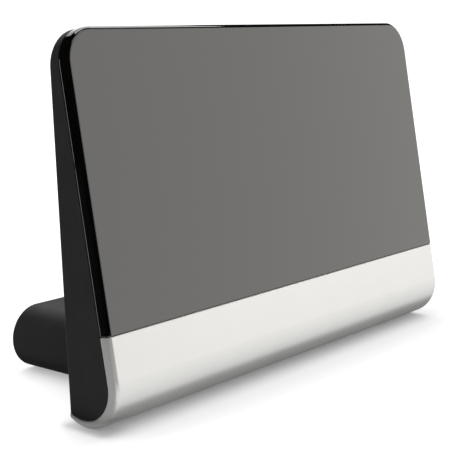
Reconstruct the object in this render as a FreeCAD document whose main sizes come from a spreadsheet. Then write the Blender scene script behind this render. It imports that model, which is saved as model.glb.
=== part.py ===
import FreeCAD, Part
import math
import os
import re

import Sketcher
from FreeCAD import Placement, Rotation, Vector

# Indoor TV antenna: a leaning gloss panel with a silver lower trim, a wedge-shaped
# rear housing, and an oval foot behind it that holds the amplifier and the sockets.
# X runs to the right seen from the front, Y to the back and Z up. The origin is on
# the table, in the middle of the object's width and depth. Sizes are in millimetres
# and angles in degrees.

SIZES = {
    # Whole object
    "width": 220.0,
    "depth": 89.8,
    "panel_top": 140.2,
    "lean": 10.2,
    "rear_lean": 2.6,
    "base_depth": 23.2,
    "stand_off": 0.5,
    "seam": 0.1,
    "fit": 0.1,
    # Gloss panel and silver trim
    "split_height": 35.5,
    "fascia_depth": 4.8,
    "fascia_wall": 2.0,
    "edge_round": 1.45,
    "split_round": 0.5,
    "bevel_depth": 0.6,
    "bevel_width": 0.2,
    "trim_lip": 0.6,
    "corner_radius": 13.0,
    "trim_radius": 16.0,
    # Rear housing
    "housing_step": 3.6,
    "housing_wall": 2.0,
    "rear_round": 0.5,
    # Screws, their posts and their wells
    "screw_diameter": 2.6,
    "head_diameter": 5.2,
    "head_height": 1.5,
    "tip_room": 0.6,
    "post_diameter": 6.5,
    "post_depth": 5.2,
    "post_inset": 22.0,
    "post_top_margin": 20.0,
    "post_split_margin": 12.0,
    "trim_post_inset": 14.0,
    "well_diameter": 6.4,
    "well_wall": 1.6,
    "seat_thickness": 1.6,
    # Receiving plates and balun
    "plate_thickness": 0.5,
    "plate_seat": 3.0,
    "plate_gap": 14.0,
    "plate_inset": 12.0,
    "plate_middle": 90.0,
    "plate_feed": 14.0,
    "plate_height": 54.0,
    "plate_bar": 9.0,
    "stake_diameter": 2.6,
    "stake_head": 4.2,
    "stake_head_height": 0.8,
    "stake_shoulder": 5.0,
    "balun_width": 28.0,
    "balun_height": 26.0,
    "board_thickness": 1.2,
    "core_width": 8.0,
    "core_depth": 4.5,
    "core_height": 6.0,
    "core_hole": 1.6,
    "core_pitch": 3.6,
    # Foot and its end cover
    "foot_width": 157.6,
    "foot_height": 25.8,
    "foot_wall": 2.0,
    "foot_step": 1.2,
    "foot_front": 3.4,
    "bay_depth": 11.0,
    "cover_thickness": 2.0,
    "boss_diameter": 7.0,
    "boss_length": 8.0,
    "boss_floor": 1.5,
    "foot_screw_inset": 20.8,
    "foot_screw_pitch": 28.0,
    "foot_screw_length": 9.0,
    "screw_pad": 0.8,
    "cover_screw_inset": 5.2,
    "cover_screw_length": 8.0,
    # Amplifier, sockets and feed cable
    "amp_width": 80.0,
    "amp_thickness": 1.6,
    "amp_front_room": 1.0,
    "rail_width": 3.0,
    "rail_grip": 1.5,
    "can_width": 34.0,
    "can_length": 20.0,
    "can_height": 6.0,
    "can_wall": 0.5,
    "can_setback": 6.0,
    "socket_spread": 44.0,
    "socket_diameter": 9.5,
    "socket_neck": 9.0,
    "neck_room": 0.5,
    "socket_bore": 6.4,
    "socket_flange": 13.0,
    "flange_thickness": 2.0,
    "stub_diameter": 8.0,
    "stub_length": 5.0,
    "socket_recess": 1.0,
    "contact_diameter": 1.2,
    "contact_tail": 6.0,
    "contact_recess": 2.0,
    "jack_width": 9.0,
    "jack_height": 9.0,
    "jack_length": 13.0,
    "jack_collar": 7.8,
    "jack_bore": 5.8,
    "jack_bore_depth": 11.0,
    "jack_pin": 2.0,
    "jack_pin_recess": 1.0,
    "cable_diameter": 3.0,
    "cable_bend": 6.0,
    "cable_inset": 9.0,
    "window_width": 12.0,
    "window_height": 7.0,
    # Rubber pads
    "pad_recess": 0.7,
    "front_pad_length": 14.0,
    "front_pad_width": 5.0,
    "front_pad_inset": 24.0,
    "rear_pad_diameter": 10.0,
    "rear_pad_inset": 22.8,
    "rear_pad_setback": 14.0,
}

# Places worked out from the sizes. In the leaning panel's own frame a reach is a
# distance behind the front face and a rise is a distance up along it.
LAYOUT = {
    "front_base": "-depth / 2 + trim_radius - trim_radius / cos(lean)"
                  " - (stand_off + trim_radius) * tan(lean)",
    "rear_base": "-depth / 2 + base_depth",
    "top_rise": "panel_top / cos(lean)",
    "split_rise": "split_height / cos(lean)",
    "taper": "tan(lean - rear_lean)",
    "rear_reach": "(rear_base - front_base) * (cos(lean) + sin(lean) * taper)",
    "trim_arc_place": "-depth / 2 + trim_radius",
    "trim_arc_rise": "(stand_off + trim_radius + trim_radius * sin(lean)) / cos(lean)",
    "trim_floor": "edge_round + bevel_depth + trim_lip",
    "housing_radius": "trim_radius - housing_step",
    "housing_arc_reach": "fascia_depth + housing_radius",
    "housing_arc_rise": "(stand_off + trim_floor + housing_radius"
                        " + housing_arc_reach * sin(lean)) / cos(lean)",
    "well_start": "post_depth + seam",
    "well_outside": "well_diameter + 2 * well_wall",
    "seat_reach": "well_start + seat_thickness",
    "screw_hole": "screw_diameter + 2 * fit",
    "post_top_rise": "top_rise - post_top_margin",
    "post_split_rise": "split_rise + post_split_margin",
    "trim_post_rise": "(trim_arc_rise + split_rise) / 2",
    "post_place": "width / 2 - post_inset",
    "trim_post_place": "width / 2 - trim_post_inset",
    "plate_span": "width - 2 * plate_inset",
    "stake_hole": "stake_diameter + 2 * fit",
    "balun_seat": "plate_seat + plate_thickness",
    "balun_back": "balun_seat + board_thickness",
    "balun_stake_out": "balun_width / 2 - stake_shoulder",
    "balun_stake_up": "balun_height / 2 - stake_shoulder / 2",
    "foot_axis": "stand_off + foot_height / 2",
    "foot_length": "depth - base_depth",
    "foot_inner": "foot_wall + foot_step",
    "foot_floor": "stand_off + foot_inner",
    "foot_inside": "rear_base + foot_front",
    "foot_seat": "rear_base + foot_axis * tan(rear_lean) - housing_wall / cos(rear_lean)"
                 " - screw_pad",
    "outer_screw_place": "foot_width / 2 - foot_screw_inset",
    "inner_screw_place": "outer_screw_place - foot_screw_pitch",
    "cover_back": "depth / 2 - bay_depth",
    "cover_front": "cover_back - cover_thickness",
    "cover_screw_place": "foot_width / 2 - cover_screw_inset",
    "socket_length": "cover_thickness + bay_depth - socket_recess",
    "thread_start": "cover_thickness + neck_room",
    "amp_top": "foot_axis - contact_diameter / 2 - seam",
    "amp_bottom": "amp_top - amp_thickness",
    "amp_front": "foot_inside + boss_length + amp_front_room",
    "amp_back": "cover_front - seam",
    "amp_notch": "cover_front - flange_thickness - stub_length - fit",
    "jack_low": "amp_top + seam",
    "jack_axis": "jack_low + jack_height / 2",
    "can_front": "amp_front + can_setback",
    "cable_axis": "amp_top + cable_diameter / 2 + seam",
    "cable_end": "can_front - seam",
    "cable_corner": "rear_base - cable_inset",
    "cable_reach": "balun_back + cable_diameter / 2 + seam",
    "cable_rise": "plate_middle - cable_diameter / 2",
    "cable_top": "cable_rise * cos(lean) - cable_reach * sin(lean)",
    "cable_top_place": "front_base + cable_reach * cos(lean) + cable_rise * sin(lean)",
    "cable_slant": "atan((cable_top_place - cable_corner) / (cable_top - cable_axis))",
    "cable_tangent": "cable_bend * tan(45 deg + cable_slant / 2)",
    "pad_thickness": "stand_off + pad_recess",
    "front_pad_place": "width / 2 - front_pad_inset",
    "rear_pad_place": "foot_width / 2 - rear_pad_inset",
}

SIDES = ("-", "")
WORD = re.compile("[a-z_]+")

doc = FreeCAD.newDocument("tv_antenna")
parts = []


def bound(formula, own_sheet=""):
    """The formula with each name led back to the sheet that holds it."""
    def owner(match):
        word = match.group(0)
        for sheet, names in (("Sizes", SIZES), ("Layout", LAYOUT)):
            if word in names and sheet != own_sheet:
                return f"{sheet}.{word}"
        return word
    return WORD.sub(owner, formula)


def make_sheet(name, cells):
    """A sheet with one named cell per entry."""
    sheet = doc.addObject("Spreadsheet::Sheet", name)
    for row, (alias, content) in enumerate(cells.items(), start=1):
        sheet.set(f"A{row}", alias)
        sheet.set(f"B{row}", content)
        sheet.setAlias(f"B{row}", alias)
    doc.recompute()
    return sheet


make_sheet("Sizes", {alias: str(number) for alias, number in SIZES.items()})
layout = make_sheet("Layout", {alias: "=" + bound(formula, "Layout")
                               for alias, formula in LAYOUT.items()})


def worked(formula):
    """The formula's present value."""
    return float(layout.evalExpression(bound(formula)))


def tie(thing, target, formula):
    """Bind one property of a feature to a formula."""
    thing.setExpression(target, bound(formula))


def make_body(label, place=("0", "0", "0"), leaning=False, group=False):
    """A new piece, upright or in the leaning panel's frame; a group holds several solids."""
    body = doc.addObject("PartDesign::Body", label)
    body.Label = label
    body.AllowCompound = group
    if leaning:
        body.Placement = Placement(Vector(), Rotation(Vector(-1, 0, 0), worked("lean")))
        tie(body, "Placement.Rotation.Angle", "lean")
        place = ("0", "front_base", "0")
    for axis, formula in zip("xyz", place):
        tie(body, f"Placement.Base.{axis}", formula)
    parts.append(body)
    return body


def make_sketch(body, role, offset="0"):
    """A sketch on one of the piece's own planes, moved along its normal."""
    sketch = body.newObject("Sketcher::SketchObject", "Sketch")
    plane = next(item for item in body.Origin.OriginFeatures if item.Role == role)
    sketch.AttachmentSupport = (plane, [""])
    sketch.MapMode = "FlatFace"
    tie(sketch, "AttachmentOffset.Base.z", offset)
    return sketch


def facing_back(body, place="0"):
    """A sketch parallel to the piece's XZ plane, at a place along its depth."""
    return make_sketch(body, "XZ_Plane", f"-({place})")


def stand_upright(sketch):
    """Turn a leaning piece's sketch so that it stands upright or lies level."""
    sketch.AttachmentOffset = Placement(Vector(), Rotation(Vector(1, 0, 0), worked("lean")))
    tie(sketch, "AttachmentOffset.Rotation.Angle", "lean")
    return sketch


def upright_facing_back(body, place):
    """An upright sketch in a leaning piece, at a place along the whole object's depth."""
    sketch = stand_upright(make_sketch(body, "XZ_Plane"))
    tie(sketch, "AttachmentOffset.Base.y", f"({place} - front_base) * sin(lean)")
    tie(sketch, "AttachmentOffset.Base.z", f"-({place} - front_base) * cos(lean)")
    return sketch


def dimension(sketch, kind, geometry, point, formula):
    """A distance from the sketch's origin to a point."""
    constraint = Sketcher.Constraint(kind, -1, 1, geometry, point, worked(formula))
    tie(sketch, f"Constraints[{sketch.addConstraint(constraint)}]", formula)


def make_side(start, end, centre):
    """One side of an outline, and which of its ends comes first."""
    if centre is None:
        return Part.LineSegment(start, end), (1, 2)
    forward = (start - centre).cross(end - centre).z > -1e-6
    ends = (1, 2) if forward else (2, 1)
    spots = (start, end) if forward else (end, start)
    angles = [math.atan2(spot.y - centre.y, spot.x - centre.x) for spot in spots]
    circle = Part.Circle(centre, Vector(0, 0, 1), (start - centre).Length)
    return Part.ArcOfCircle(circle, *angles), ends


def draw(sketch, corners, arcs=None, closed=True):
    """Lines and arcs from corner to corner.

    arcs gives the centre of each side that is an arc, by the number of its first corner.
    """
    arcs = arcs or {}
    points = [Vector(worked(x), worked(y), 0) for x, y in corners]
    following = points[1:] + points[:1]
    centres = {side: Vector(worked(x), worked(y), 0) for side, (x, y) in arcs.items()}
    drawn = []
    for side in range(len(points) if closed else len(points) - 1):
        edge, ends = make_side(points[side], following[side], centres.get(side))
        drawn.append((sketch.addGeometry(edge, False), ends))
    for side, (geometry, ends) in enumerate(drawn):
        if side or closed:
            before, before_ends = drawn[side - 1]
            sketch.addConstraint(Sketcher.Constraint(
                "Coincident", before, before_ends[1], geometry, ends[0]))
        dimension(sketch, "DistanceX", geometry, ends[0], corners[side][0])
        dimension(sketch, "DistanceY", geometry, ends[0], corners[side][1])
    if not closed:
        geometry, ends = drawn[-1]
        dimension(sketch, "DistanceX", geometry, ends[1], corners[-1][0])
        dimension(sketch, "DistanceY", geometry, ends[1], corners[-1][1])
    for side, (x, y) in arcs.items():
        chord = following[side] - points[side]
        if abs(chord.y) > abs(chord.x):
            dimension(sketch, "DistanceX", drawn[side][0], 3, x)
        else:
            dimension(sketch, "DistanceY", drawn[side][0], 3, y)


def draw_box(sketch, left, right, low, high):
    """A rectangle."""
    draw(sketch, [(left, low), (right, low), (right, high), (left, high)])


def draw_circles(sketch, places, diameter):
    """Circles of one size at several places."""
    for x, y in places:
        centre = Vector(worked(x), worked(y), 0)
        circle = Part.Circle(centre, Vector(0, 0, 1), worked(diameter) / 2)
        geometry = sketch.addGeometry(circle, False)
        dimension(sketch, "DistanceX", geometry, 3, x)
        dimension(sketch, "DistanceY", geometry, 3, y)
        index = sketch.addConstraint(Sketcher.Constraint("Diameter", geometry, worked(diameter)))
        tie(sketch, f"Constraints[{index}]", diameter)


def draw_oval(sketch, inset):
    """The foot's oval section, drawn in by an inset."""
    half = "(foot_width - foot_height) / 2"
    low = f"stand_off + {inset}"
    high = f"stand_off + foot_height - {inset}"
    draw(sketch,
         [(half, low), (half, high), (f"-{half}", high), (f"-{half}", low)],
         {0: (half, "foot_axis"), 2: (f"-{half}", "foot_axis")})


def draw_panel(sketch, inset, low):
    """The panel's outline with its round top corners, drawn in by an inset."""
    half = f"(width / 2 - {inset})"
    top = f"(top_rise - {inset})"
    corner = "(width / 2 - corner_radius)"
    shoulder = "(top_rise - corner_radius)"
    draw(sketch,
         [(f"-{half}", low), (half, low), (half, shoulder),
          (corner, top), (f"-{corner}", top), (f"-{half}", shoulder)],
         {2: (corner, shoulder), 4: (f"-{corner}", shoulder)})


def extrude(body, kind, sketch, length, back=False, both=False):
    """A pad or a pocket of a sketch, with the change in volume checked."""
    before = body.Shape.Volume if body.Tip else 0.0
    feature = body.newObject(f"PartDesign::{kind}", kind)
    feature.Profile = sketch
    feature.Reversed = back
    if both:
        feature.SideType = "Symmetric"
    tie(feature, "Length", length)
    doc.recompute()
    change = body.Shape.Volume - before
    if (change > 0) != (kind == "Pad"):
        raise ValueError(f"{body.Label}: {feature.Name} changed nothing")
    return feature


def pad_back(body, sketch, length):
    """Add material towards the back."""
    return extrude(body, "Pad", sketch, length, back=True)


def pad_forward(body, sketch, length):
    """Add material towards the front."""
    return extrude(body, "Pad", sketch, length)


def cut_back(body, sketch, length):
    """Cut towards the back."""
    return extrude(body, "Pocket", sketch, length)


def cut_forward(body, sketch, length):
    """Cut towards the front."""
    return extrude(body, "Pocket", sketch, length, back=True)


def round_edges(body, radius, wanted):
    """Round the edges of the piece that a test picks out."""
    base = body.Tip
    names = [f"Edge{number}" for number, edge in enumerate(base.Shape.Edges, start=1)
             if wanted(edge)]
    fillet = body.newObject("PartDesign::Fillet", "Fillet")
    fillet.Base = (base, names)
    tie(fillet, "Radius", radius)
    doc.recompute()
    return fillet


def bevel_edges(body, wanted):
    """Bevel the edges that a test picks out, mostly along the side that they bound."""
    base = body.Tip
    names = [f"Edge{number}" for number, edge in enumerate(base.Shape.Edges, start=1)
             if wanted(edge)]
    bevel = body.newObject("PartDesign::Chamfer", "Bevel")
    bevel.Base = (base, names)
    bevel.ChamferType = "Two distances"
    tie(bevel, "Size", "bevel_depth")
    tie(bevel, "Size2", "bevel_width")
    doc.recompute()
    return bevel


def along(edge, test):
    """Whether a test holds at both ends and the middle of an edge."""
    first, last = edge.ParameterRange
    return all(test(edge.valueAt(value)) for value in (first, (first + last) / 2, last))


def near(measure, formula):
    """Whether a measure equals a formula's value."""
    return abs(measure - worked(formula)) < 1e-4


def revolve(body, profile):
    """Turn a profile of radius and length about the piece's Y axis."""
    sketch = make_sketch(body, "XY_Plane")
    draw(sketch, profile)
    feature = body.newObject("PartDesign::Revolution", "Revolution")
    feature.Profile = sketch
    feature.ReferenceAxis = (sketch, ["V_Axis"])
    feature.Angle = 360
    doc.recompute()
    return feature


def rear_at(rise, inset="0"):
    """How far the rear face, or a face inset from it, lies behind the front at a rise."""
    return f"(rear_reach - {inset} * sqrt(1 + taper ^ 2) - {rise} * taper)"


def heel(arc_reach, arc_rise, radius, inset="0"):
    """Where an arc of the base meets the rear face, or a face inset from it."""
    lag = f"({rear_at('0', inset)} - {arc_reach})"
    middle = f"({lag} * taper + {arc_rise})"
    square = "(1 + taper ^ 2)"
    rest = f"({lag} ^ 2 + {arc_rise} ^ 2 - {radius} ^ 2)"
    rise = f"(({middle} - sqrt({middle} ^ 2 - {square} * {rest})) / {square})"
    return rear_at(rise, inset), rise


PANEL_POSTS = [(f"{side}post_place", rise)
               for rise in ("post_top_rise", "post_split_rise") for side in SIDES]
TRIM_POSTS = [(f"{side}trim_post_place", "trim_post_rise") for side in SIDES]
FOOT_SCREWS = [(f"{side}{place}", "foot_axis")
               for place in ("inner_screw_place", "outer_screw_place") for side in SIDES]
COVER_SCREWS = [(f"{side}cover_screw_place", "foot_axis") for side in SIDES]
BALUN_STAKES = [("-balun_stake_out", "plate_middle + balun_stake_up"),
                ("balun_stake_out", "plate_middle - balun_stake_up")]
AERIAL_AXIS = ("-socket_spread / 2", "foot_axis")
JACK_AXIS = ("socket_spread / 2", "jack_axis")


def plate_stakes(side):
    """The stakes that hold the receiving plate of one side."""
    outer = f"{side}(plate_span - plate_bar) / 2"
    swing = "(plate_height - plate_feed) / 3"
    return [(f"{side}(plate_gap / 2 + 2 * plate_bar)", "plate_middle"),
            (outer, f"plate_middle - {swing}"),
            (outer, f"plate_middle + {swing}")]


def add_posts(body, places):
    """Screw posts behind the front wall, with their blind pilot holes."""
    sketch = facing_back(body, "fascia_wall")
    draw_circles(sketch, places, "post_diameter")
    pad_back(body, sketch, "post_depth - fascia_wall")
    sketch = facing_back(body, "post_depth")
    draw_circles(sketch, places, "screw_hole")
    cut_forward(body, sketch, "post_depth - fascia_wall - fit")


def add_stakes(body, places, seat, thickness):
    """Stakes melted over what they hold: a shoulder, a neck and a flattened head."""
    neck_top = f"({seat} + {thickness} + fit)"
    for diameter, low, high in (("stake_shoulder", "fascia_wall", seat),
                                ("stake_diameter", seat, neck_top),
                                ("stake_head", neck_top, f"({neck_top} + stake_head_height)")):
        sketch = facing_back(body, low)
        draw_circles(sketch, places, diameter)
        pad_back(body, sketch, f"{high} - {low}")


def make_front_panel():
    """The gloss face: a plate with a rim behind it, screw posts and stakes."""
    body = make_body("front_panel", leaning=True)
    low = "(split_rise + seam)"
    back = "(fascia_depth - seam)"
    sketch = facing_back(body)
    draw_panel(sketch, "0", low)
    pad_back(body, sketch, back)
    round_edges(body, "edge_round", lambda edge: along(edge, lambda spot: near(spot.y, "0"))
                and not along(edge, lambda spot: near(spot.z, low)))
    bevel_edges(body, lambda edge: along(edge, lambda spot: near(spot.y, back))
                and not along(edge, lambda spot: near(spot.z, low)))
    round_edges(body, "split_round", lambda edge: along(
        edge, lambda spot: near(spot.z, low) and near(spot.y, "0")))
    sketch = facing_back(body, back)
    draw_panel(sketch, "fascia_wall", f"{low} + fascia_wall")
    cut_forward(body, sketch, f"{back} - fascia_wall")
    add_posts(body, PANEL_POSTS)
    add_stakes(body, plate_stakes("-") + plate_stakes(""), "plate_seat", "plate_thickness")
    add_stakes(body, BALUN_STAKES, "balun_seat", "board_thickness")


def make_lower_trim():
    """The silver trim: flat in front, rolled under the housing as far as its heel."""
    body = make_body("lower_trim", leaning=True)
    inner = "(fascia_depth - seam)"
    sketch = make_sketch(body, "YZ_Plane")
    draw(sketch,
         [("0", "split_rise"), ("0", "trim_arc_rise"),
          heel("trim_radius", "trim_arc_rise", "trim_radius"),
          heel("housing_arc_reach", "housing_arc_rise", "(housing_radius + seam)"),
          (inner, "housing_arc_rise"), (inner, "split_rise")],
         {1: ("trim_radius", "trim_arc_rise"), 3: ("housing_arc_reach", "housing_arc_rise")})
    extrude(body, "Pad", sketch, "width", both=True)

    def on_outer_end(spot):
        from_arc = math.hypot(spot.y - worked("trim_radius"), spot.z - worked("trim_arc_rise"))
        return near(abs(spot.x), "width / 2") and (near(spot.y, "0") or near(from_arc, "trim_radius"))

    def on_inner_end(spot):
        from_arc = math.hypot(spot.y - worked("housing_arc_reach"), spot.z - worked("housing_arc_rise"))
        return near(abs(spot.x), "width / 2") and (near(spot.y, inner)
                                                   or near(from_arc, "housing_radius + seam"))

    round_edges(body, "edge_round", lambda edge: along(edge, on_outer_end))
    bevel_edges(body, lambda edge: along(edge, on_inner_end))
    round_edges(body, "split_round", lambda edge: along(
        edge, lambda spot: near(spot.z, "split_rise") and near(spot.y, "0")))
    sketch = make_sketch(body, "YZ_Plane")
    draw_box(sketch, "fascia_wall", "fascia_depth", "trim_arc_rise", "split_rise - fascia_wall")
    extrude(body, "Pocket", sketch, "width - 2 * fascia_wall", both=True)
    add_posts(body, TRIM_POSTS)
    sketch = stand_upright(make_sketch(body, "XY_Plane"))
    draw_front_pads(sketch, "trim_arc_place - front_base", "fit")
    extrude(body, "Pocket", sketch, "pad_thickness", back=True)


def draw_front_pads(sketch, place, clearance):
    """The outlines of the two front pads, with a clearance round them."""
    for side in SIDES:
        middle = f"{side}front_pad_place"
        half = f"(front_pad_length / 2 + {clearance})"
        deep = f"(front_pad_width / 2 + {clearance})"
        draw_box(sketch, f"{middle} - {half}", f"{middle} + {half}",
                 f"{place} - {deep}", f"{place} + {deep}")


def make_rear_housing():
    """The wedge-shaped shell behind the fascia, with its screw wells and the foot's seats."""
    body = make_body("rear_housing", leaning=True)
    sketch = make_sketch(body, "YZ_Plane")
    draw(sketch,
         [("fascia_depth", "top_rise"), ("fascia_depth", "housing_arc_rise"),
          heel("housing_arc_reach", "housing_arc_rise", "housing_radius"),
          (rear_at("top_rise"), "top_rise")],
         {1: ("housing_arc_reach", "housing_arc_rise")})
    extrude(body, "Pad", sketch, "width", both=True)
    sketch = make_sketch(body, "YZ_Plane")
    ceiling = "(top_rise - housing_wall)"
    draw(sketch,
         [("fascia_depth - fit", ceiling), ("fascia_depth - fit", "housing_arc_rise"),
          ("fascia_depth + housing_wall", "housing_arc_rise"),
          heel("housing_arc_reach", "housing_arc_rise", "(housing_radius - housing_wall)", "housing_wall"),
          (rear_at(ceiling, "housing_wall"), ceiling)],
         {2: ("housing_arc_reach", "housing_arc_rise")})
    extrude(body, "Pocket", sketch, "width - 2 * housing_wall", both=True)
    for inset in ("housing_wall", "0"):
        round_edges(body, f"corner_radius - {inset}", lambda edge: along(
            edge, lambda spot: near(abs(spot.x), f"width / 2 - {inset}")
            and near(spot.z, f"top_rise - {inset}")))
    round_edges(body, "rear_round", lambda edge: along(
        edge, lambda spot: near(spot.y + spot.z * worked("taper"), "rear_reach")))
    for rise in ("post_top_rise", "post_split_rise", "trim_post_rise"):
        places = [place for place in PANEL_POSTS + TRIM_POSTS if place[1] == rise]
        sketch = facing_back(body, "well_start")
        draw_circles(sketch, places, "well_outside")
        pad_back(body, sketch, f"{rear_at(rise)} - housing_wall / 2 - well_start")
    for start, diameter in (("well_start", "screw_hole"), ("seat_reach", "well_diameter")):
        sketch = facing_back(body, start)
        draw_circles(sketch, PANEL_POSTS + TRIM_POSTS, diameter)
        cut_back(body, sketch, "rear_reach")
    sketch = upright_facing_back(body, "foot_seat")
    draw_circles(sketch, FOOT_SCREWS, "well_outside")
    pad_back(body, sketch, "screw_pad + housing_wall / 2")
    sketch = upright_facing_back(body, "foot_seat")
    draw_circles(sketch, FOOT_SCREWS, "screw_hole")
    draw_window(sketch)
    cut_back(body, sketch, "screw_pad + 2 * housing_wall")


def draw_window(sketch):
    """The opening that the feed cable goes through."""
    draw_box(sketch, "-window_width / 2", "window_width / 2",
             "cable_axis - window_height / 2", "cable_axis + window_height / 2")


def make_antenna_plate(label, side):
    """One half of the stamped receiving element: a bow with an open middle."""
    body = make_body(label, leaning=True)
    spread = "((plate_height - plate_feed) / (plate_span - plate_gap))"
    sketch = facing_back(body, "plate_seat")
    for start, end, margin in (
            ("plate_gap / 2", "plate_span / 2", "0"),
            ("plate_gap / 2 + 4 * plate_bar", "plate_span / 2 - plate_bar", "plate_bar")):
        heights = [f"(plate_feed / 2 + ({x} - plate_gap / 2) * {spread} - {margin})"
                   for x in (start, end)]
        draw(sketch, [(f"{side}({start})", f"plate_middle - {heights[0]}"),
                      (f"{side}({end})", f"plate_middle - {heights[1]}"),
                      (f"{side}({end})", f"plate_middle + {heights[1]}"),
                      (f"{side}({start})", f"plate_middle + {heights[0]}")])
    draw_circles(sketch, plate_stakes(side), "stake_hole")
    pad_back(body, sketch, "plate_thickness")


def make_balun_board():
    """The small board that joins the two plates."""
    body = make_body("balun_board", leaning=True)
    sketch = facing_back(body, "balun_seat")
    draw_box(sketch, "-balun_width / 2", "balun_width / 2",
             "plate_middle - balun_height / 2", "plate_middle + balun_height / 2")
    draw_circles(sketch, BALUN_STAKES, "stake_hole")
    pad_back(body, sketch, "board_thickness")


def make_balun_core():
    """The two-hole ferrite core on the balun board."""
    body = make_body("balun_core", leaning=True)
    sketch = make_sketch(body, "XY_Plane", "plate_middle")
    draw_box(sketch, "-core_width / 2", "core_width / 2", "balun_back", "balun_back + core_depth")
    draw_circles(sketch, [(f"{side}core_pitch / 2", "balun_back + core_depth / 2") for side in SIDES],
                 "core_hole")
    extrude(body, "Pad", sketch, "core_height")


def make_feed_cable():
    """The screened lead from the balun board down to the amplifier."""
    body = make_body("feed_cable")
    spine = make_sketch(body, "YZ_Plane")
    bend_start = "(cable_corner + cable_tangent)"
    draw(spine,
         [("cable_end", "cable_axis"), (bend_start, "cable_axis"),
          ("cable_corner + cable_tangent * sin(cable_slant)",
           "cable_axis + cable_tangent * cos(cable_slant)"),
          ("cable_top_place", "cable_top")],
         {1: (bend_start, "cable_axis + cable_bend")}, closed=False)
    section = facing_back(body, "cable_end")
    draw_circles(section, [("0", "cable_axis")], "cable_diameter")
    pipe = body.newObject("PartDesign::AdditivePipe", "Pipe")
    pipe.Profile = section
    pipe.Spine = (spine, [])
    doc.recompute()


def make_foot_shell():
    """The oval foot: a tube closed against the housing and open at the back."""
    body = make_body("foot_shell")
    sketch = facing_back(body, "depth / 2")
    draw_oval(sketch, "0")
    pad_forward(body, sketch, "foot_length")
    round_edges(body, "rear_round", lambda edge: along(
        edge, lambda spot: near(spot.y, "depth / 2")))
    for inset, length in (("foot_wall", "bay_depth + cover_thickness"),
                          ("foot_inner", "foot_length - foot_front")):
        sketch = facing_back(body, "depth / 2")
        draw_oval(sketch, inset)
        cut_forward(body, sketch, length)
    top = "(stand_off + foot_height + seam)"
    sketch = make_sketch(body, "YZ_Plane")
    draw(sketch, [("rear_base - seam", "0"), ("rear_base + seam", "0"),
                  (f"rear_base + seam + {top} * tan(rear_lean)", top), ("rear_base - seam", top)])
    extrude(body, "Pocket", sketch, "foot_width + 2 * seam", both=True)
    sketch = facing_back(body, "foot_inside")
    draw_circles(sketch, FOOT_SCREWS, "boss_diameter")
    pad_back(body, sketch, "boss_length")
    sketch = facing_back(body, "cover_front")
    draw_circles(sketch, COVER_SCREWS, "boss_diameter")
    pad_forward(body, sketch, "boss_length")
    sketch = facing_back(body, "foot_inside")
    for side in SIDES:
        draw_rail(sketch, side)
    pad_back(body, sketch, "amp_notch - foot_inside")
    sketch = facing_back(body, "rear_base")
    draw_circles(sketch, FOOT_SCREWS, "screw_hole")
    cut_back(body, sketch, "foot_front + boss_length - boss_floor")
    sketch = facing_back(body, "cover_front")
    draw_circles(sketch, COVER_SCREWS, "screw_hole")
    cut_forward(body, sketch, "boss_length - boss_floor")
    sketch = facing_back(body, "rear_base")
    draw_window(sketch)
    cut_back(body, sketch, "foot_front + seam")
    sketch = make_sketch(body, "XY_Plane")
    draw_rear_pads(sketch, "rear_pad_diameter + 2 * fit")
    extrude(body, "Pocket", sketch, "pad_thickness", back=True)


def draw_rail(sketch, side):
    """One of the two grooved rails that the amplifier board slides into."""
    inner = f"{side}(amp_width / 2 - rail_grip)"
    outer = f"{side}(amp_width / 2 + rail_width - rail_grip)"
    groove = f"{side}(amp_width / 2 + fit)"
    low = "foot_floor - foot_step / 2"
    high = "amp_top + rail_grip"
    draw(sketch, [(inner, low), (outer, low), (outer, high), (inner, high),
                  (inner, "amp_top + fit"), (groove, "amp_top + fit"),
                  (groove, "amp_bottom - fit"), (inner, "amp_bottom - fit")])


def draw_rear_pads(sketch, diameter):
    """The outlines of the two rear pads."""
    draw_circles(sketch, [(f"{side}rear_pad_place", "depth / 2 - rear_pad_setback")
                          for side in SIDES], diameter)


def make_end_cover():
    """The inset plate that closes the foot and holds the sockets."""
    body = make_body("end_cover")
    sketch = facing_back(body, "cover_front")
    draw_oval(sketch, "(foot_wall + fit)")
    draw_circles(sketch, [AERIAL_AXIS], "socket_diameter + 2 * fit")
    draw_circles(sketch, [JACK_AXIS], "jack_collar + 2 * fit")
    draw_circles(sketch, COVER_SCREWS, "screw_hole")
    pad_back(body, sketch, "cover_thickness")


def make_amplifier():
    """The amplifier board, notched round the aerial socket, and its screening can."""
    board = make_body("amplifier_board")
    sketch = make_sketch(board, "XY_Plane", "amp_bottom")
    half = "amp_width / 2"
    notch = [f"{AERIAL_AXIS[0]} {turn} (socket_flange / 2 + fit)" for turn in "-+"]
    draw(sketch, [(f"-{half}", "amp_front"), (half, "amp_front"), (half, "amp_back"),
                  (notch[1], "amp_back"), (notch[1], "amp_notch"), (notch[0], "amp_notch"),
                  (notch[0], "amp_back"), (f"-{half}", "amp_back")])
    extrude(board, "Pad", sketch, "amp_thickness")
    can = make_body("shield_can")
    sketch = make_sketch(can, "XY_Plane", "amp_top")
    draw_box(sketch, "-can_width / 2", "can_width / 2", "can_front", "can_front + can_length")
    extrude(can, "Pad", sketch, "can_height")
    sketch = make_sketch(can, "XY_Plane", "amp_top")
    draw_box(sketch, "-can_width / 2 + can_wall", "can_width / 2 - can_wall",
             "can_front + can_wall", "can_front + can_length - can_wall")
    extrude(can, "Pocket", sketch, "can_height - can_wall", back=True)


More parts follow.
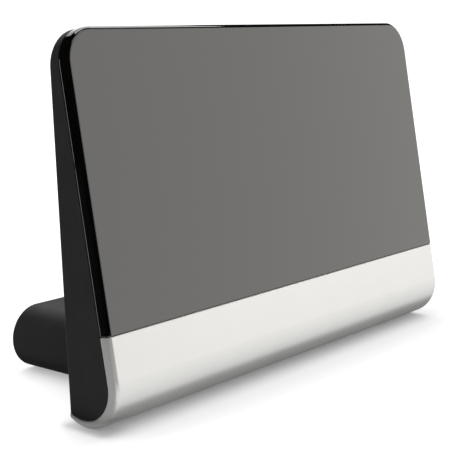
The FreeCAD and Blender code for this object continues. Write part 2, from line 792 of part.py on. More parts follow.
def make_aerial_socket():
    """The screw-on coaxial socket, its insulator and its centre contact."""
    place = (AERIAL_AXIS[0], "cover_front", AERIAL_AXIS[1])
    tail = "-flange_thickness - stub_length"
    barrel = make_body("aerial_socket", place)
    revolve(barrel, [("socket_bore / 2", tail), ("stub_diameter / 2", tail),
                     ("stub_diameter / 2", "-flange_thickness"),
                     ("socket_flange / 2", "-flange_thickness"), ("socket_flange / 2", "0"),
                     ("socket_neck / 2", "0"), ("socket_neck / 2", "thread_start"),
                     ("socket_diameter / 2", "thread_start"), ("socket_diameter / 2", "socket_length"),
                     ("socket_bore / 2", "socket_length")])
    insulator = make_body("aerial_insulator", place)
    inner = "contact_diameter / 2 + fit"
    outer = "socket_bore / 2 - fit"
    tip = "socket_length - contact_recess / 2"
    revolve(insulator, [(inner, tail), (outer, tail), (outer, tip), (inner, tip)])
    contact = make_body("aerial_contact", place)
    sketch = facing_back(contact, f"{tail} - contact_tail")
    draw_circles(sketch, [("0", "0")], "contact_diameter")
    pad_back(contact, sketch, f"socket_length - contact_recess - ({tail}) + contact_tail")


def make_power_socket():
    """The round supply socket and its centre pin."""
    body = make_body("power_socket")
    sketch = facing_back(body, "cover_front - jack_length")
    draw_box(sketch, f"{JACK_AXIS[0]} - jack_width / 2", f"{JACK_AXIS[0]} + jack_width / 2",
             "jack_low", "jack_low + jack_height")
    pad_back(body, sketch, "jack_length")
    sketch = facing_back(body, "cover_front")
    draw_circles(sketch, [JACK_AXIS], "jack_collar")
    pad_back(body, sketch, "cover_thickness")
    sketch = facing_back(body, "cover_back")
    draw_circles(sketch, [JACK_AXIS], "jack_bore")
    cut_forward(body, sketch, "jack_bore_depth")
    pin = make_body("power_pin")
    sketch = facing_back(pin, "cover_back - jack_bore_depth")
    draw_circles(sketch, [JACK_AXIS], "jack_pin")
    pad_back(pin, sketch, "jack_bore_depth - jack_pin_recess")


def make_screws(label, places, seat, length, leaning=False, head_behind=True):
    """A set of pan-head screws whose heads bear on a seat, before or behind it."""
    body = make_body(label, leaning=leaning, group=True)
    head, shank = (pad_back, pad_forward) if head_behind else (pad_forward, pad_back)
    sketch = facing_back(body, seat)
    draw_circles(sketch, places, "head_diameter")
    head(body, sketch, "head_height")
    sketch = facing_back(body, seat)
    draw_circles(sketch, places, "screw_diameter")
    shank(body, sketch, length)


def make_pads():
    """The rubber pads that the object stands on."""
    front = make_body("front_pads", group=True)
    sketch = make_sketch(front, "XY_Plane")
    draw_front_pads(sketch, "trim_arc_place", "0")
    extrude(front, "Pad", sketch, "pad_thickness")
    rear = make_body("rear_pads", group=True)
    sketch = make_sketch(rear, "XY_Plane")
    draw_rear_pads(sketch, "rear_pad_diameter")
    extrude(rear, "Pad", sketch, "pad_thickness")


def write_parts():
    """Check every feature and piece, then write one file for each piece."""
    doc.recompute()
    failed = [item.Name for item in doc.Objects if {"Invalid", "Error"} & set(item.State)]
    failed += [body.Label for body in parts if body.Shape.isNull() or not body.Shape.isValid()]
    if failed:
        raise ValueError(f"failed: {failed}")
    os.makedirs("parts", exist_ok=True)
    for body in parts:
        body.Shape.exportStep(f"parts/{body.Label}.step")


make_front_panel()
make_lower_trim()
make_rear_housing()
make_antenna_plate("antenna_plate_left", "-")
make_antenna_plate("antenna_plate_right", "")
make_balun_board()
make_balun_core()
make_feed_cable()
make_foot_shell()
make_end_cover()
make_amplifier()
make_aerial_socket()
make_power_socket()
make_screws("housing_screws", PANEL_POSTS + TRIM_POSTS, "seat_reach",
            "seat_reach - fascia_wall - tip_room", leaning=True)
make_screws("foot_screws", FOOT_SCREWS, "foot_seat", "foot_screw_length", head_behind=False)
make_screws("cover_screws", COVER_SCREWS, "cover_back", "cover_screw_length")
make_pads()
write_parts()
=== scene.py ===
import logging
import math
from dataclasses import dataclass, field
from enum import Enum
from typing import Any, ClassVar

import bmesh
import bpy
from mathutils import Euler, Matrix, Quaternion, Vector


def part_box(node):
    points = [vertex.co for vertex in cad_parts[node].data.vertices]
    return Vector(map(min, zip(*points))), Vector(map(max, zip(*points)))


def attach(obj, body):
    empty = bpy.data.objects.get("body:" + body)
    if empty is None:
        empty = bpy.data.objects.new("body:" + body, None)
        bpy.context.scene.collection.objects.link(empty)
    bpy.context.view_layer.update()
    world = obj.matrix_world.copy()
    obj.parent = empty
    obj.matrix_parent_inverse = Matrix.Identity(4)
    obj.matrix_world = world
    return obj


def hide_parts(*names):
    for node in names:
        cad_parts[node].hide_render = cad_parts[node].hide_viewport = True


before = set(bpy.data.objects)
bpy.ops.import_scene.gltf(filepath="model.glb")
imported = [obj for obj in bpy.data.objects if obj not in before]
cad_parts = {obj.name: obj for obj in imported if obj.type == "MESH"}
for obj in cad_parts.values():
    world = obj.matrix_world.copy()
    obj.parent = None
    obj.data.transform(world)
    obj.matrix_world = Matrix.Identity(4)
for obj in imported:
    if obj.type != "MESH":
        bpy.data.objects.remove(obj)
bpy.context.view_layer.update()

log = logging.getLogger("tv_antenna")

Colour = tuple[float, float, float]
Point = tuple[float, float, float]
Value = bpy.types.NodeSocket | bpy.types.Material | float | int | bool | tuple | str

SMOOTH_ANGLE = math.radians(32.0)
FULL_TURN = 2.0 * math.pi


class Slot(Enum):
    """The record's material slots."""

    GLOSS_FACE = "gloss_face"
    SILVER_TRIM = "silver_trim"
    BLACK_SHELL = "black_shell"
    TIN_PLATE = "tin_plate"
    CIRCUIT_BOARD = "circuit_board"
    FERRITE = "ferrite"
    CABLE_JACKET = "cable_jacket"
    NICKEL = "nickel"
    WHITE_INSULATOR = "white_insulator"
    BRASS_CONTACT = "brass_contact"
    BLACK_INSULATOR = "black_insulator"
    SCREW_STEEL = "screw_steel"
    RUBBER_PAD = "rubber_pad"


class Grain(Enum):
    """How a surface was made, which sets the pattern of its fine relief."""

    POLISHED = "polished"
    MOULDED = "moulded"
    FLAKED = "flaked"
    DRAWN = "drawn"
    ETCHED = "etched"
    SINTERED = "sintered"


class Graph:
    """A node tree with short calls that add and join its nodes."""

    def __init__(self, tree: bpy.types.NodeTree) -> None:
        """Keep the tree that the nodes go into."""
        self.tree = tree

    def add(self, kind: str, inputs: dict[str | int, Value] | None = None, **settings: Any) -> bpy.types.Node:
        """Add one node.

        Args:
            kind: The node's type name.
            inputs: A constant or another node's output for each named input.
            settings: The node's own properties.

        Returns:
            The new node.
        """
        node = self.tree.nodes.new(kind)
        for name, value in settings.items():
            setattr(node, name, value)
        for key, value in (inputs or {}).items():
            if isinstance(value, bpy.types.NodeSocket):
                self.tree.links.new(value, node.inputs[key])
            else:
                node.inputs[key].default_value = value
        return node

    def math(self, operation: str, first: Value, second: Value = 0.0) -> bpy.types.NodeSocket:
        """Add a sum of one or two values.

        Args:
            operation: The kind of sum.
            first: Its first value.
            second: Its second value, where it has one.

        Returns:
            The result's socket.
        """
        return self.add("ShaderNodeMath", {0: first, 1: second}, operation=operation).outputs[0]

    def span(self, value: Value, start: float, end: float, low: float, high: float) -> bpy.types.NodeSocket:
        """Map a value from one range to another, held at its ends.

        Args:
            value: What is mapped.
            start: The first range's start.
            end: The first range's end.
            low: The result at the start.
            high: The result at the end.

        Returns:
            The result's socket.
        """
        return self.add("ShaderNodeMapRange", {0: value, 1: start, 2: end, 3: low, 4: high}).outputs[0]


@dataclass(frozen=True)
class Finish:
    """One surface finish: its two close tones, its gloss and its fine relief, in metres."""

    slot: Slot
    tone: Colour
    second_tone: Colour
    mottle: float
    roughness: tuple[float, float]
    grain: Grain
    grain_size: float
    relief: float
    metallic: float = 0.0
    specular: float = 0.5
    noise_span: ClassVar[tuple[float, float]] = (0.3, 0.7)
    cloud_detail: ClassVar[float] = 4.0
    fine_detail: ClassVar[float] = 3.0
    tone_weights: ClassVar[tuple[float, float]] = (0.75, 0.25)
    etched_weights: ClassVar[tuple[float, float]] = (0.4, 0.5)
    etched_scatter: ClassVar[float] = 0.8
    etched_edge: ClassVar[tuple[float, float]] = (0.03, 0.09)
    drawn_stretch: ClassVar[Point] = (0.04, 1.0, 1.0)

    def build(self) -> bpy.types.Material:
        """Make the finish's material.

        Returns:
            The material, with its pattern on the object's own coordinates.
        """
        material = bpy.data.materials.new(self.slot.value)
        material.use_nodes = True
        graph = Graph(material.node_tree)
        material.node_tree.nodes.clear()
        place = graph.add("ShaderNodeTexCoord").outputs["Object"]
        cloud = graph.add("ShaderNodeTexNoise", {"Vector": place, "Scale": 1.0 / self.mottle,
                                                 "Detail": self.cloud_detail})
        fine = self.fine_pattern(graph, place)
        tones = graph.add("ShaderNodeValToRGB", {"Fac": self.tone_mix(graph, cloud.outputs[0], fine)})
        pair = (self.tone, self.second_tone)
        for stop, tone, at in zip(tones.color_ramp.elements, pair, self.noise_span):
            stop.position = at
            stop.color = (*tone, 1.0)
        bump = graph.add("ShaderNodeBump", {"Height": fine, "Strength": 1.0, "Distance": self.relief})
        shader = graph.add("ShaderNodeBsdfPrincipled", {
            "Base Color": tones.outputs[0],
            "Roughness": graph.span(cloud.outputs[0], *self.noise_span, *self.roughness),
            "Normal": bump.outputs[0],
            "Metallic": self.metallic,
            "Specular IOR Level": self.specular,
        })
        graph.add("ShaderNodeOutputMaterial", {"Surface": shader.outputs[0]})
        return material

    def fine_pattern(self, graph: Graph, place: bpy.types.NodeSocket) -> bpy.types.NodeSocket:
        """Add the texture of the surface's fine relief.

        Args:
            graph: The material's nodes.
            place: The object's own coordinates.

        Returns:
            The socket of the relief's height, from 0 to 1.
        """
        scale = 1.0 / self.grain_size
        if self.grain in (Grain.FLAKED, Grain.SINTERED):
            return graph.add("ShaderNodeTexVoronoi", {"Vector": place, "Scale": scale}).outputs["Distance"]
        if self.grain is Grain.ETCHED:
            cells = graph.add("ShaderNodeTexVoronoi", {
                "Vector": place,
                "Scale": scale,
                "Randomness": self.etched_scatter,
            }, feature="DISTANCE_TO_EDGE")
            return graph.span(cells.outputs["Distance"], *self.etched_edge, 1.0, 0.0)
        if self.grain is Grain.DRAWN:
            stretch = graph.add("ShaderNodeMapping", {"Vector": place, "Scale": self.drawn_stretch})
            place = stretch.outputs[0]
        return graph.add("ShaderNodeTexNoise", {"Vector": place, "Scale": scale,
                                                "Detail": self.fine_detail}).outputs[0]

    def tone_mix(self, graph: Graph, cloud: bpy.types.NodeSocket,
                 fine: bpy.types.NodeSocket) -> bpy.types.NodeSocket:
        """Choose what moves the colour between the two tones.

        Args:
            graph: The material's nodes.
            cloud: The slow mottling.
            fine: The fine relief.

        Returns:
            Mostly the relief on an etched board, and elsewhere mostly the mottling.
        """
        slow, quick = self.etched_weights if self.grain is Grain.ETCHED else self.tone_weights
        return graph.math("ADD", graph.math("MULTIPLY", cloud, slow), graph.math("MULTIPLY", fine, quick))


FINISHES = (
    Finish(Slot.GLOSS_FACE, tone=(0.0006, 0.0006, 0.0006), second_tone=(0.0010, 0.0010, 0.0010),
           mottle=0.05, roughness=(0.03, 0.05), grain=Grain.POLISHED, grain_size=0.012,
           relief=0.000002, specular=1.0),
    Finish(Slot.SILVER_TRIM, tone=(0.566, 0.563, 0.554), second_tone=(0.594, 0.591, 0.580),
           mottle=0.02, roughness=(0.345, 0.375), grain=Grain.FLAKED, grain_size=0.00025,
           relief=0.000006, metallic=0.72),
    Finish(Slot.BLACK_SHELL, tone=(0.0098, 0.0098, 0.0098), second_tone=(0.0128, 0.0128, 0.0128),
           mottle=0.004, roughness=(0.54, 0.62), grain=Grain.MOULDED, grain_size=0.00045,
           relief=0.00002, specular=0.25),
    Finish(Slot.TIN_PLATE, tone=(0.62, 0.61, 0.58), second_tone=(0.72, 0.71, 0.68),
           mottle=0.01, roughness=(0.24, 0.38), grain=Grain.DRAWN, grain_size=0.0003,
           relief=0.000006, metallic=1.0),
    Finish(Slot.CIRCUIT_BOARD, tone=(0.012, 0.085, 0.030), second_tone=(0.035, 0.20, 0.075),
           mottle=0.01, roughness=(0.28, 0.36), grain=Grain.ETCHED, grain_size=0.0045,
           relief=0.00003),
    Finish(Slot.FERRITE, tone=(0.030, 0.030, 0.031), second_tone=(0.060, 0.060, 0.061),
           mottle=0.002, roughness=(0.62, 0.78), grain=Grain.SINTERED, grain_size=0.0003,
           relief=0.00004),
    Finish(Slot.CABLE_JACKET, tone=(0.018, 0.018, 0.019), second_tone=(0.026, 0.026, 0.027),
           mottle=0.003, roughness=(0.40, 0.52), grain=Grain.MOULDED, grain_size=0.0006,
           relief=0.00001),
    Finish(Slot.NICKEL, tone=(0.66, 0.64, 0.60), second_tone=(0.76, 0.74, 0.70),
           mottle=0.002, roughness=(0.16, 0.30), grain=Grain.DRAWN, grain_size=0.0002,
           relief=0.000004, metallic=1.0),
    Finish(Slot.WHITE_INSULATOR, tone=(0.80, 0.79, 0.74), second_tone=(0.86, 0.85, 0.81),
           mottle=0.002, roughness=(0.36, 0.44), grain=Grain.MOULDED, grain_size=0.0005,
           relief=0.000008),
    Finish(Slot.BRASS_CONTACT, tone=(0.70, 0.53, 0.24), second_tone=(0.82, 0.66, 0.34),
           mottle=0.001, roughness=(0.18, 0.30), grain=Grain.DRAWN, grain_size=0.0002,
           relief=0.000004, metallic=1.0),
    Finish(Slot.BLACK_INSULATOR, tone=(0.016, 0.016, 0.016), second_tone=(0.022, 0.022, 0.022),
           mottle=0.002, roughness=(0.30, 0.40), grain=Grain.MOULDED, grain_size=0.0004,
           relief=0.000008),
    Finish(Slot.SCREW_STEEL, tone=(0.48, 0.48, 0.49), second_tone=(0.62, 0.62, 0.63),
           mottle=0.0015, roughness=(0.26, 0.40), grain=Grain.SINTERED, grain_size=0.0002,
           relief=0.000004, metallic=1.0),
    Finish(Slot.RUBBER_PAD, tone=(0.020, 0.020, 0.020), second_tone=(0.032, 0.032, 0.032),
           mottle=0.002, roughness=(0.78, 0.90), grain=Grain.MOULDED, grain_size=0.0005,
           relief=0.00004, specular=0.3),
)


class Palette:
    """The materials of all finishes, made once."""

    def __init__(self, finishes: tuple[Finish, ...]) -> None:
        """Make each finish's material."""
        self.materials = {finish.slot: finish.build() for finish in finishes}

    def dress(self, piece: bpy.types.Object, slot: Slot) -> None:
        """Give a piece the finish of a slot, and nothing else."""
        piece.data.materials.clear()
        piece.data.materials.append(self.materials[slot])


@dataclass(frozen=True)
class Lean:
    """The leaning panel's own frame: reach is behind its front face, rise is up along it."""

    angle: float = math.radians(10.2)
    depth: float = 0.0898
    stand_off: float = 0.0005
    trim_radius: float = 0.016

    @property
    def front_base(self) -> float:
        """Where the front face, drawn on, would meet the table."""
        tangent = self.trim_radius - self.trim_radius / math.cos(self.angle)
        return -self.depth / 2 + tangent - (self.stand_off + self.trim_radius) * math.tan(self.angle)

    def place(self, across: float, reach: float, rise: float) -> Vector:
        """Turn a place in the leaning frame into one in the whole object's frame.

        Args:
            across: Distance to the right of the middle.
            reach: Distance behind the front face.
            rise: Distance up along the front face.

        Returns:
            The place in metres.
        """
        sine = math.sin(self.angle)
        cosine = math.cos(self.angle)
        return Vector((across, self.front_base + reach * cosine + rise * sine, rise * cosine - reach * sine))


class NodeShape:
    """A Geometry Nodes tree with named inputs, and the plain mesh that comes out of it."""

    def __init__(self, name: str) -> None:
        """Start a tree that takes and gives geometry.

        Args:
            name: The tree's name.
        """
        self.tree = bpy.data.node_groups.new(name, "GeometryNodeTree")
        self.graph = Graph(self.tree)
        self.values: dict[str, Value] = {}
        self.tree.interface.new_socket("Geometry", in_out="INPUT", socket_type="NodeSocketGeometry")
        self.tree.interface.new_socket("Geometry", in_out="OUTPUT", socket_type="NodeSocketGeometry")
        self.entry = self.graph.add("NodeGroupInput")

    def size(self, name: str, value: float) -> bpy.types.NodeSocket:
        """Add a named size.

        Args:
            name: The input's name.
            value: Its value, in metres.

        Returns:
            The size's socket inside the tree.
        """
        item = self.tree.interface.new_socket(name, in_out="INPUT", socket_type="NodeSocketFloat")
        self.values[item.identifier] = value
        return self.entry.outputs[name]

    def thread(self, shape: bpy.types.NodeSocket, pitch: Value, depth: Value, start: Value,
               end: Value) -> bpy.types.NodeSocket:
        """Cut a helical groove into a round shape that stands along Z.

        Args:
            shape: The round shape.
            pitch: The rise of one turn.
            depth: The groove's depth.
            start: Where the thread begins along Z.
            end: Where it ends.

        Returns:
            The threaded shape's socket.
        """
        graph = self.graph
        spot = graph.add("ShaderNodeSeparateXYZ", {0: graph.add("GeometryNodeInputPosition").outputs[0]})
        across, along, up = spot.outputs
        turn = graph.math("DIVIDE", graph.math("ARCTAN2", along, across), FULL_TURN)
        phase = graph.math("FRACT", graph.math("SUBTRACT", graph.math("DIVIDE", up, pitch), turn))
        crest = graph.math("ABSOLUTE", graph.math("SUBTRACT", graph.math("MULTIPLY", phase, 2.0), 1.0))
        rising = graph.math("DIVIDE", graph.math("SUBTRACT", up, start), pitch)
        falling = graph.math("DIVIDE", graph.math("SUBTRACT", end, up), pitch)
        ends = graph.math("MINIMUM", graph.math("MINIMUM", rising, falling), 1.0)
        cut = graph.math("MULTIPLY", graph.math("MULTIPLY", crest, graph.math("MAXIMUM", ends, 0.0)), depth)
        outward = graph.add("ShaderNodeCombineXYZ", {0: across, 1: along})
        unit = graph.add("ShaderNodeVectorMath", {0: outward.outputs[0]}, operation="NORMALIZE")
        sunk = graph.math("MULTIPLY", cut, -1.0)
        inward = graph.add("ShaderNodeVectorMath", {0: unit.outputs[0], "Scale": sunk}, operation="SCALE")
        moved = graph.add("GeometryNodeSetPosition", {"Geometry": shape, "Offset": inward.outputs[0]})
        return moved.outputs[0]

    def close(self, shape: bpy.types.NodeSocket, material: bpy.types.Material) -> None:
        """End the tree: make instances real and set the material.

        Args:
            shape: The finished geometry.
            material: Its material.
        """
        real = self.graph.add("GeometryNodeRealizeInstances", {0: shape})
        dressed = self.graph.add("GeometryNodeSetMaterial", {"Geometry": real.outputs[0],
                                                             "Material": material})
        self.graph.add("NodeGroupOutput", {0: dressed.outputs[0]})

    def apply(self, piece: bpy.types.Object) -> None:
        """Put a piece through the tree and keep the outcome as its plain mesh.

        Args:
            piece: The object whose mesh is the tree's starting geometry.
        """
        modifier = piece.modifiers.new(self.tree.name, "NODES")
        modifier.node_group = self.tree
        for identifier, value in self.values.items():
            modifier[identifier] = value
        graph = bpy.context.evaluated_depsgraph_get()
        made = bpy.data.meshes.new_from_object(piece.evaluated_get(graph))
        piece.modifiers.remove(modifier)
        piece.data = made
        made.name = piece.name


def new_piece(name: str, mesh: bpy.types.Mesh) -> bpy.types.Object:
    """Put a mesh into the scene under a piece's name.

    Args:
        name: The piece's name.
        mesh: Its mesh.

    Returns:
        The new object, at the origin.
    """
    piece = bpy.data.objects.new(name, mesh)
    bpy.context.scene.collection.objects.link(piece)
    return piece


def smooth(piece: bpy.types.Object, angle: float = SMOOTH_ANGLE) -> None:
    """Shade a piece smooth, except across edges sharper than an angle."""
    piece.data.shade_smooth()
    piece.data.set_sharp_from_angle(angle=angle)


def seat(piece: bpy.types.Object, node: str) -> None:
    """Let a new piece stand for a solid and move with the object.

    Args:
        piece: The new piece.
        node: The solid that it stands for.
    """
    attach(piece, "root")
    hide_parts(node)
    log.info("%s: %d faces, stands for %s", piece.name, len(piece.data.polygons), node)


@dataclass
class Screws:
    """A set of pan-head screws with a cross recess, one at each place."""

    node: str
    places: list[Vector]
    turn: float
    length: float
    head_diameter: float = 0.0052
    head_height: float = 0.0015
    head_dome: float = 0.00055
    shank_diameter: float = 0.0026
    pitch: float = 0.0009
    groove: float = 0.00035
    recess_width: float = 0.0029
    recess_gap: float = 0.00062
    recess_depth: float = 0.0009
    top_share: float = 0.4
    shank_share: float = 0.4
    run_out: float = 0.5
    head_sides: int = 40
    head_rows: int = 2
    head_rings: int = 6
    shank_sides: int = 24
    rows_per_turn: int = 8
    seed: int = 11

    def build(self, palette: Palette) -> bpy.types.Object:
        """Make the screws.

        Args:
            palette: The materials.

        Returns:
            The piece that holds the whole set.
        """
        mesh = bpy.data.meshes.new(self.node + "_detail")
        mesh.from_pydata(self.places, [], [])
        piece = new_piece(self.node + "_detail", mesh)
        shape = NodeShape(self.node + "_tree")
        screw = self.recessed(shape, self.blank(shape))
        shape.close(self.spread(shape, screw), palette.materials[Slot.SCREW_STEEL])
        shape.apply(piece)
        smooth(piece)
        seat(piece, self.node)
        return piece

    def blank(self, shape: NodeShape) -> bpy.types.NodeSocket:
        """Add the domed head and the threaded shank, joined into one solid.

        Args:
            shape: The tree.

        Returns:
            The blank's socket, with its seat at the origin and its head above it.
        """
        graph = shape.graph
        height = shape.size("Head Height", self.head_height)
        radius = graph.math("MULTIPLY", shape.size("Head Diameter", self.head_diameter), 0.5)
        disc = graph.add("GeometryNodeMeshCylinder", {
            "Vertices": self.head_sides,
            "Side Segments": self.head_rows,
            "Fill Segments": self.head_rings,
            "Radius": radius,
            "Depth": height,
        }, fill_type="TRIANGLE_FAN")
        spot = graph.add("ShaderNodeSeparateXYZ", {0: graph.add("GeometryNodeInputPosition").outputs[0]})
        across, along, up = spot.outputs
        out = graph.math("ADD", graph.math("MULTIPLY", across, across), graph.math("MULTIPLY", along, along))
        share = graph.math("DIVIDE", out, graph.math("MULTIPLY", radius, radius))
        dome = graph.math("MULTIPLY", shape.size("Head Dome", self.head_dome), -1.0)
        fall = graph.math("MULTIPLY", share, dome)
        top = graph.math("GREATER_THAN", up, graph.math("MULTIPLY", height, self.top_share))
        lowered = graph.add("ShaderNodeCombineXYZ", {2: graph.math("MULTIPLY", fall, top)})
        lifted = graph.add("ShaderNodeCombineXYZ", {2: graph.math("MULTIPLY", height, 0.5)})
        offset = graph.add("ShaderNodeVectorMath", {0: lowered.outputs[0], 1: lifted.outputs[0]})
        head = graph.add("GeometryNodeSetPosition", {"Geometry": disc.outputs["Mesh"],
                                                     "Offset": offset.outputs[0]})
        joined = graph.add("GeometryNodeMeshBoolean", {1: head.outputs[0]}, operation="UNION", solver="EXACT")
        graph.tree.links.new(self.shank(shape, height), joined.inputs[1])
        return joined.outputs[0]

    def shank(self, shape: NodeShape, height: bpy.types.NodeSocket) -> bpy.types.NodeSocket:
        """Add the threaded shank, which runs from below the seat up into the head.

        Args:
            shape: The tree.
            height: The head's height.

        Returns:
            The shank's socket.
        """
        graph = shape.graph
        length = shape.size("Shank Length", self.length)
        pitch = shape.size("Thread Pitch", self.pitch)
        radius = graph.math("MULTIPLY", shape.size("Shank Diameter", self.shank_diameter), 0.5)
        inside = graph.math("MULTIPLY", height, self.shank_share)
        rows = round(self.length / self.pitch * self.rows_per_turn)
        rod = graph.add("GeometryNodeMeshCylinder", {
            "Vertices": self.shank_sides,
            "Side Segments": rows,
            "Radius": radius,
            "Depth": graph.math("ADD", length, inside),
        })
        middle = graph.math("MULTIPLY", graph.math("SUBTRACT", inside, length), 0.5)
        low = graph.add("ShaderNodeCombineXYZ", {2: middle})
        placed = graph.add("GeometryNodeTransform", {"Geometry": rod.outputs["Mesh"],
                                                     "Translation": low.outputs[0]})
        return shape.thread(placed.outputs[0], pitch, shape.size("Thread Depth", self.groove),
                            graph.math("MULTIPLY", length, -1.0),
                            graph.math("MULTIPLY", pitch, -self.run_out))

    def recessed(self, shape: NodeShape, blank: bpy.types.NodeSocket) -> bpy.types.NodeSocket:
        """Cut the cross recess into the head.

        Args:
            shape: The tree.
            blank: The screw without its recess.

        Returns:
            The finished screw's socket.
        """
        graph = shape.graph
        width = shape.size("Recess Width", self.recess_width)
        gap = shape.size("Recess Gap", self.recess_gap)
        deep = graph.math("MULTIPLY", shape.size("Recess Depth", self.recess_depth), 2.0)
        top = graph.add("ShaderNodeCombineXYZ", {2: self.head_height})
        cut = graph.add("GeometryNodeMeshBoolean", {0: blank}, operation="DIFFERENCE", solver="EXACT")
        for wide, narrow in ((width, gap), (gap, width)):
            size = graph.add("ShaderNodeCombineXYZ", {0: wide, 1: narrow, 2: deep})
            bar = graph.add("GeometryNodeMeshCube", {"Size": size.outputs[0]})
            raised = graph.add("GeometryNodeTransform", {"Geometry": bar.outputs["Mesh"],
                                                         "Translation": top.outputs[0]})
            graph.tree.links.new(raised.outputs[0], cut.inputs[1])
        return cut.outputs[0]

    def spread(self, shape: NodeShape, screw: bpy.types.NodeSocket) -> bpy.types.NodeSocket:
        """Put a screw at each place, each turned on its own axis as the driver left it.

        Args:
            shape: The tree.
            screw: One screw.

        Returns:
            The whole set's socket.
        """
        graph = shape.graph
        chance = graph.add("FunctionNodeRandomValue", {3: FULL_TURN, "Seed": self.seed})
        roll = graph.add("ShaderNodeCombineXYZ", {2: chance.outputs[1]})
        lay = graph.add("FunctionNodeEulerToRotation", {0: (self.turn, 0.0, 0.0)})
        spun = graph.add("FunctionNodeEulerToRotation", {0: roll.outputs[0]})
        both = graph.add("FunctionNodeRotateRotation", {0: lay.outputs[0], 1: spun.outputs[0]},
                         rotation_space="LOCAL")
        return graph.add("GeometryNodeInstanceOnPoints", {"Points": shape.entry.outputs[0], "Instance": screw,
                                                          "Rotation": both.outputs[0]}).outputs[0]


@dataclass
class AerialSocket:
    """The screw-on coaxial socket: a turned body with a thread along its barrel."""

    place: Point = (-0.022, 0.0319, 0.0134)
    diameter: float = 0.0095
    neck: float = 0.0090
    bore: float = 0.0064
    flange: float = 0.013
    flange_thickness: float = 0.002
    stub: float = 0.008
    stub_length: float = 0.005
    length: float = 0.012
    thread_start: float = 0.0025
    pitch: float = 0.000794
    groove: float = 0.00045
    bevel: float = 0.0003
    rows_per_turn: int = 8
    sides: int = 64
    smooth_angle: float = math.radians(50.0)

    def profile(self) -> list[tuple[float, float]]:
        """List the body's outline.

        Returns:
            Pairs of radius and length along the axis, round the closed section.
        """
        tail = -self.flange_thickness - self.stub_length
        tip = self.length - self.bevel
        rows = round((tip - self.thread_start) / self.pitch * self.rows_per_turn)
        step = (tip - self.thread_start) / rows
        outer = self.diameter / 2
        barrel = [(outer, self.thread_start + step * row) for row in range(rows + 1)]
        return [(self.bore / 2, tail), (self.stub / 2, tail), (self.stub / 2, -self.flange_thickness),
                (self.flange / 2 - self.bevel, -self.flange_thickness),
                (self.flange / 2, -self.flange_thickness + self.bevel), (self.flange / 2, 0.0),
                (self.neck / 2, 0.0), (self.neck / 2, self.thread_start), *barrel,
                (outer - self.bevel, self.length), (self.bore / 2 + self.bevel, self.length),
                (self.bore / 2, tip)]

    def build(self, palette: Palette) -> bpy.types.Object:
        """Make the socket.

        Args:
            palette: The materials.

        Returns:
            The threaded socket.
        """
        shape = NodeShape("socket_thread_tree")
        graph = shape.graph
        cut = shape.thread(shape.entry.outputs[0], shape.size("Thread Pitch", self.pitch),
                           shape.size("Thread Depth", self.groove),
                           shape.size("Thread Start", self.thread_start),
                           shape.size("Thread End", self.length - self.bevel))
        outward = graph.add("FunctionNodeEulerToRotation", {0: (-math.pi / 2, 0.0, 0.0)})
        laid = graph.add("GeometryNodeTransform", {"Geometry": cut, "Translation": self.place,
                                                   "Rotation": outward.outputs[0]})
        shape.close(laid.outputs[0], palette.materials[Slot.NICKEL])
        piece = new_piece("aerial_socket_detail", self.turned())
        shape.apply(piece)
        smooth(piece, self.smooth_angle)
        seat(piece, "aerial_socket")
        return piece

    def turned(self) -> bpy.types.Mesh:
        """Turn the outline about Z.

        Returns:
            The closed mesh, before its thread is cut.
        """
        shell = bmesh.new()
        rings = []
        for radius, up in self.profile():
            angles = [FULL_TURN * side / self.sides for side in range(self.sides)]
            rings.append([shell.verts.new((radius * math.cos(angle), radius * math.sin(angle), up))
                          for angle in angles])
        for ring, after in zip(rings, rings[1:] + rings[:1]):
            for side in range(self.sides):
                following = (side + 1) % self.sides
                shell.faces.new((ring[side], ring[following], after[following], after[side]))
        bmesh.ops.recalc_face_normals(shell, faces=shell.faces)
        mesh = bpy.data.meshes.new("aerial_socket_detail")
        shell.to_mesh(mesh)
        shell.free()
        return mesh


@dataclass
class Assembly:
    """A group of solids that are dressed as they are."""

    nodes: dict[str, Slot]

    def build(self, palette: Palette) -> None:
        """Add no piece, where the group's solids already hold all its detail."""

    def dress(self, palette: Palette) -> None:
        """Give each solid of the group its finish.

        Args:
            palette: The materials.
        """
        for node, slot in self.nodes.items():
            palette.dress(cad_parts[node], slot)
            log.info("%s: %s", node, slot.value)


@dataclass
class Fascia(Assembly):
    """The gloss panel and the silver trim below it."""

    nodes: dict[str, Slot] = field(default_factory=lambda: {
        "front_panel": Slot.GLOSS_FACE,
        "lower_trim": Slot.SILVER_TRIM,
    })


@dataclass
class Receiver(Assembly):
    """What lies inside the housing: the receiving plates, the balun and its lead."""

    nodes: dict[str, Slot] = field(default_factory=lambda: {
        "antenna_plate_left": Slot.TIN_PLATE,
        "antenna_plate_right": Slot.TIN_PLATE,
        "balun_board": Slot.CIRCUIT_BOARD,
        "balun_core": Slot.FERRITE,
        "feed_cable": Slot.CABLE_JACKET,
    })


